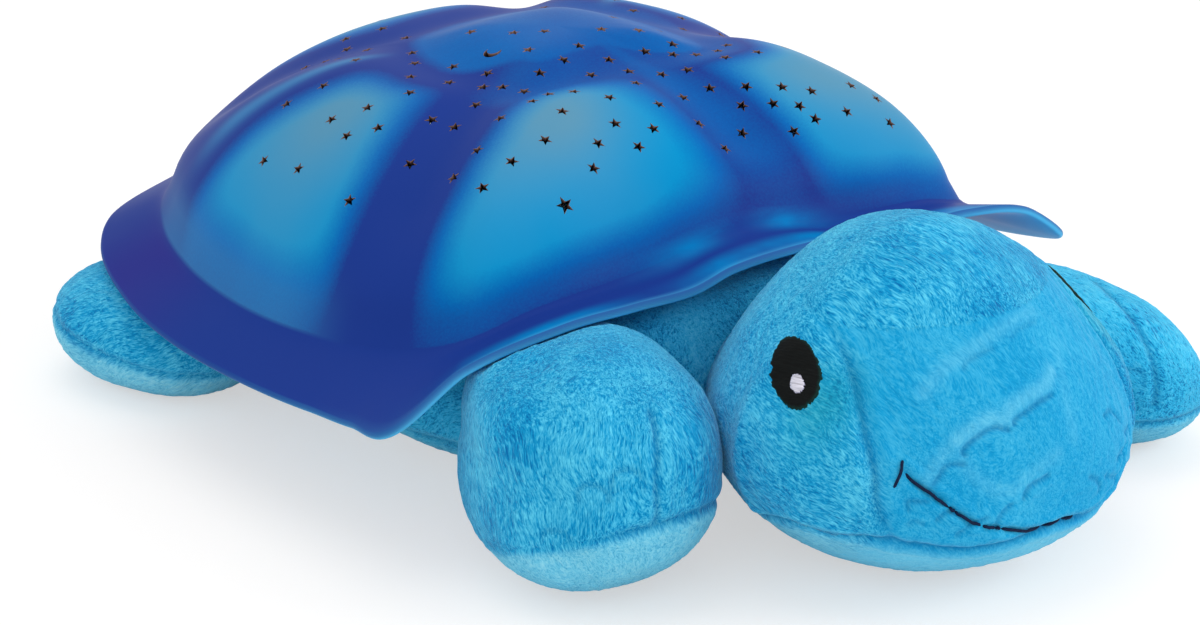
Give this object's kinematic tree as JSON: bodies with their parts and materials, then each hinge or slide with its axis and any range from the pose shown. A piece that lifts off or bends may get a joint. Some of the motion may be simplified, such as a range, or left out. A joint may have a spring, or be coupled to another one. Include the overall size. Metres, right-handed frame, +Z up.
{
  "type": "star night light projector",
  "caption": "Plush turtle night light with a rigid domed shell pierced by star holes, coloured lamps inside, push buttons and a belly flap over the battery door.",
  "frame": {"origin": "on the floor, under the middle of the whole turtle's bounding box", "axes": "+Z up, the turtle faces -Y, +X is its left side"},
  "size_m": [0.243, 0.3238, 0.107],
  "materials": {
    "shell_plastic": "satin blue with lighter airbrushed plates",
    "clear_film": "clear",
    "white_plastic": "satin",
    "circuit_board": "satin",
    "amber_lens": "clear tinted",
    "green_lens": "clear tinted",
    "blue_lens": "clear tinted",
    "black_plastic": "matte",
    "steel": "plated",
    "power_button": "satin",
    "amber_button": "satin",
    "green_button": "satin",
    "blue_button": "satin",
    "cell_jacket": "satin printed jacket left bare",
    "lead_insulation": "satin",
    "flat_lead": "satin",
    "plush": "short pile plush",
    "eye_thread": "satin stitch",
    "glint_thread": "satin stitch",
    "mouth_thread": "stitch",
    "flap_fabric": "short pile plush",
    "loop_tape": "looped tape",
    "hook_tape": "hook tape"
  },
  "bodies": {
    "turtle": {"shell_cover": "shell_plastic", "star_liner": "clear_film", "base_tray": "white_plastic", "lamp_post": "white_plastic", "lamp_board": "circuit_board", "amber_lamp": "amber_lens", "green_lamp": "green_lens", "blue_lamp": "blue_lens", "control_board": "circuit_board", "board_parts": "black_plastic", "tact_switches": "black_plastic", "board_screws": "steel", "shell_screws": "steel", "clamp_ring": "white_plastic", "ring_screws": "steel", "cell_1": "cell_jacket", "cell_2": "cell_jacket", "cell_3": "cell_jacket", "contact_plates": "steel", "contact_springs": "steel", "battery_leads": "lead_insulation", "lamp_lead": "flat_lead", "plush_trunk": "plush", "plush_head": "plush", "front_flipper_right": "plush", "front_flipper_left": "plush", "rear_foot_right": "plush", "rear_foot_left": "plush", "plush_tail": "plush", "eye_right": "eye_thread", "eye_left": "eye_thread", "eye_glint_right": "glint_thread", "eye_glint_left": "glint_thread", "mouth_stitch": "mouth_thread", "hook_strip": "hook_tape"},
    "power_button": {"power_button": "power_button"},
    "amber_button": {"amber_button": "amber_button"},
    "green_button": {"green_button": "green_button"},
    "blue_button": {"blue_button": "blue_button"},
    "battery_door": {"battery_door": "white_plastic", "door_screw": "steel"},
    "belly_flap": {"belly_flap": "flap_fabric", "loop_strip": "loop_tape"}
  },
  "joints": [
    {"name": "power_press", "type": "slide", "parent": "turtle", "child": "power_button", "axis": [0, -0.7314, -0.682], "range_m": [0, 0.001], "stiffness_N_per_m": 500, "springref_m": -0.0005},
    {"name": "amber_press", "type": "slide", "parent": "turtle", "child": "amber_button", "axis": [0, -0.7314, -0.682], "range_m": [0, 0.001], "stiffness_N_per_m": 400, "springref_m": -0.0005},
    {"name": "green_press", "type": "slide", "parent": "turtle", "child": "green_button", "axis": [0, -0.7314, -0.682], "range_m": [0, 0.001], "stiffness_N_per_m": 400, "springref_m": -0.0005},
    {"name": "blue_press", "type": "slide", "parent": "turtle", "child": "blue_button", "axis": [0, -0.7314, -0.682], "range_m": [0, 0.001], "stiffness_N_per_m": 400, "springref_m": -0.0005},
    {"name": "door_pull", "type": "slide", "parent": "turtle", "child": "battery_door", "axis": [0, 0, -1], "range_m": [0, 0.008]},
    {"name": "flap_open", "type": "hinge", "parent": "turtle", "child": "belly_flap", "pos_m": [0, -0.00165, 0], "axis": [-1, 0, 0], "range_deg": [0, 110]}
  ]
}
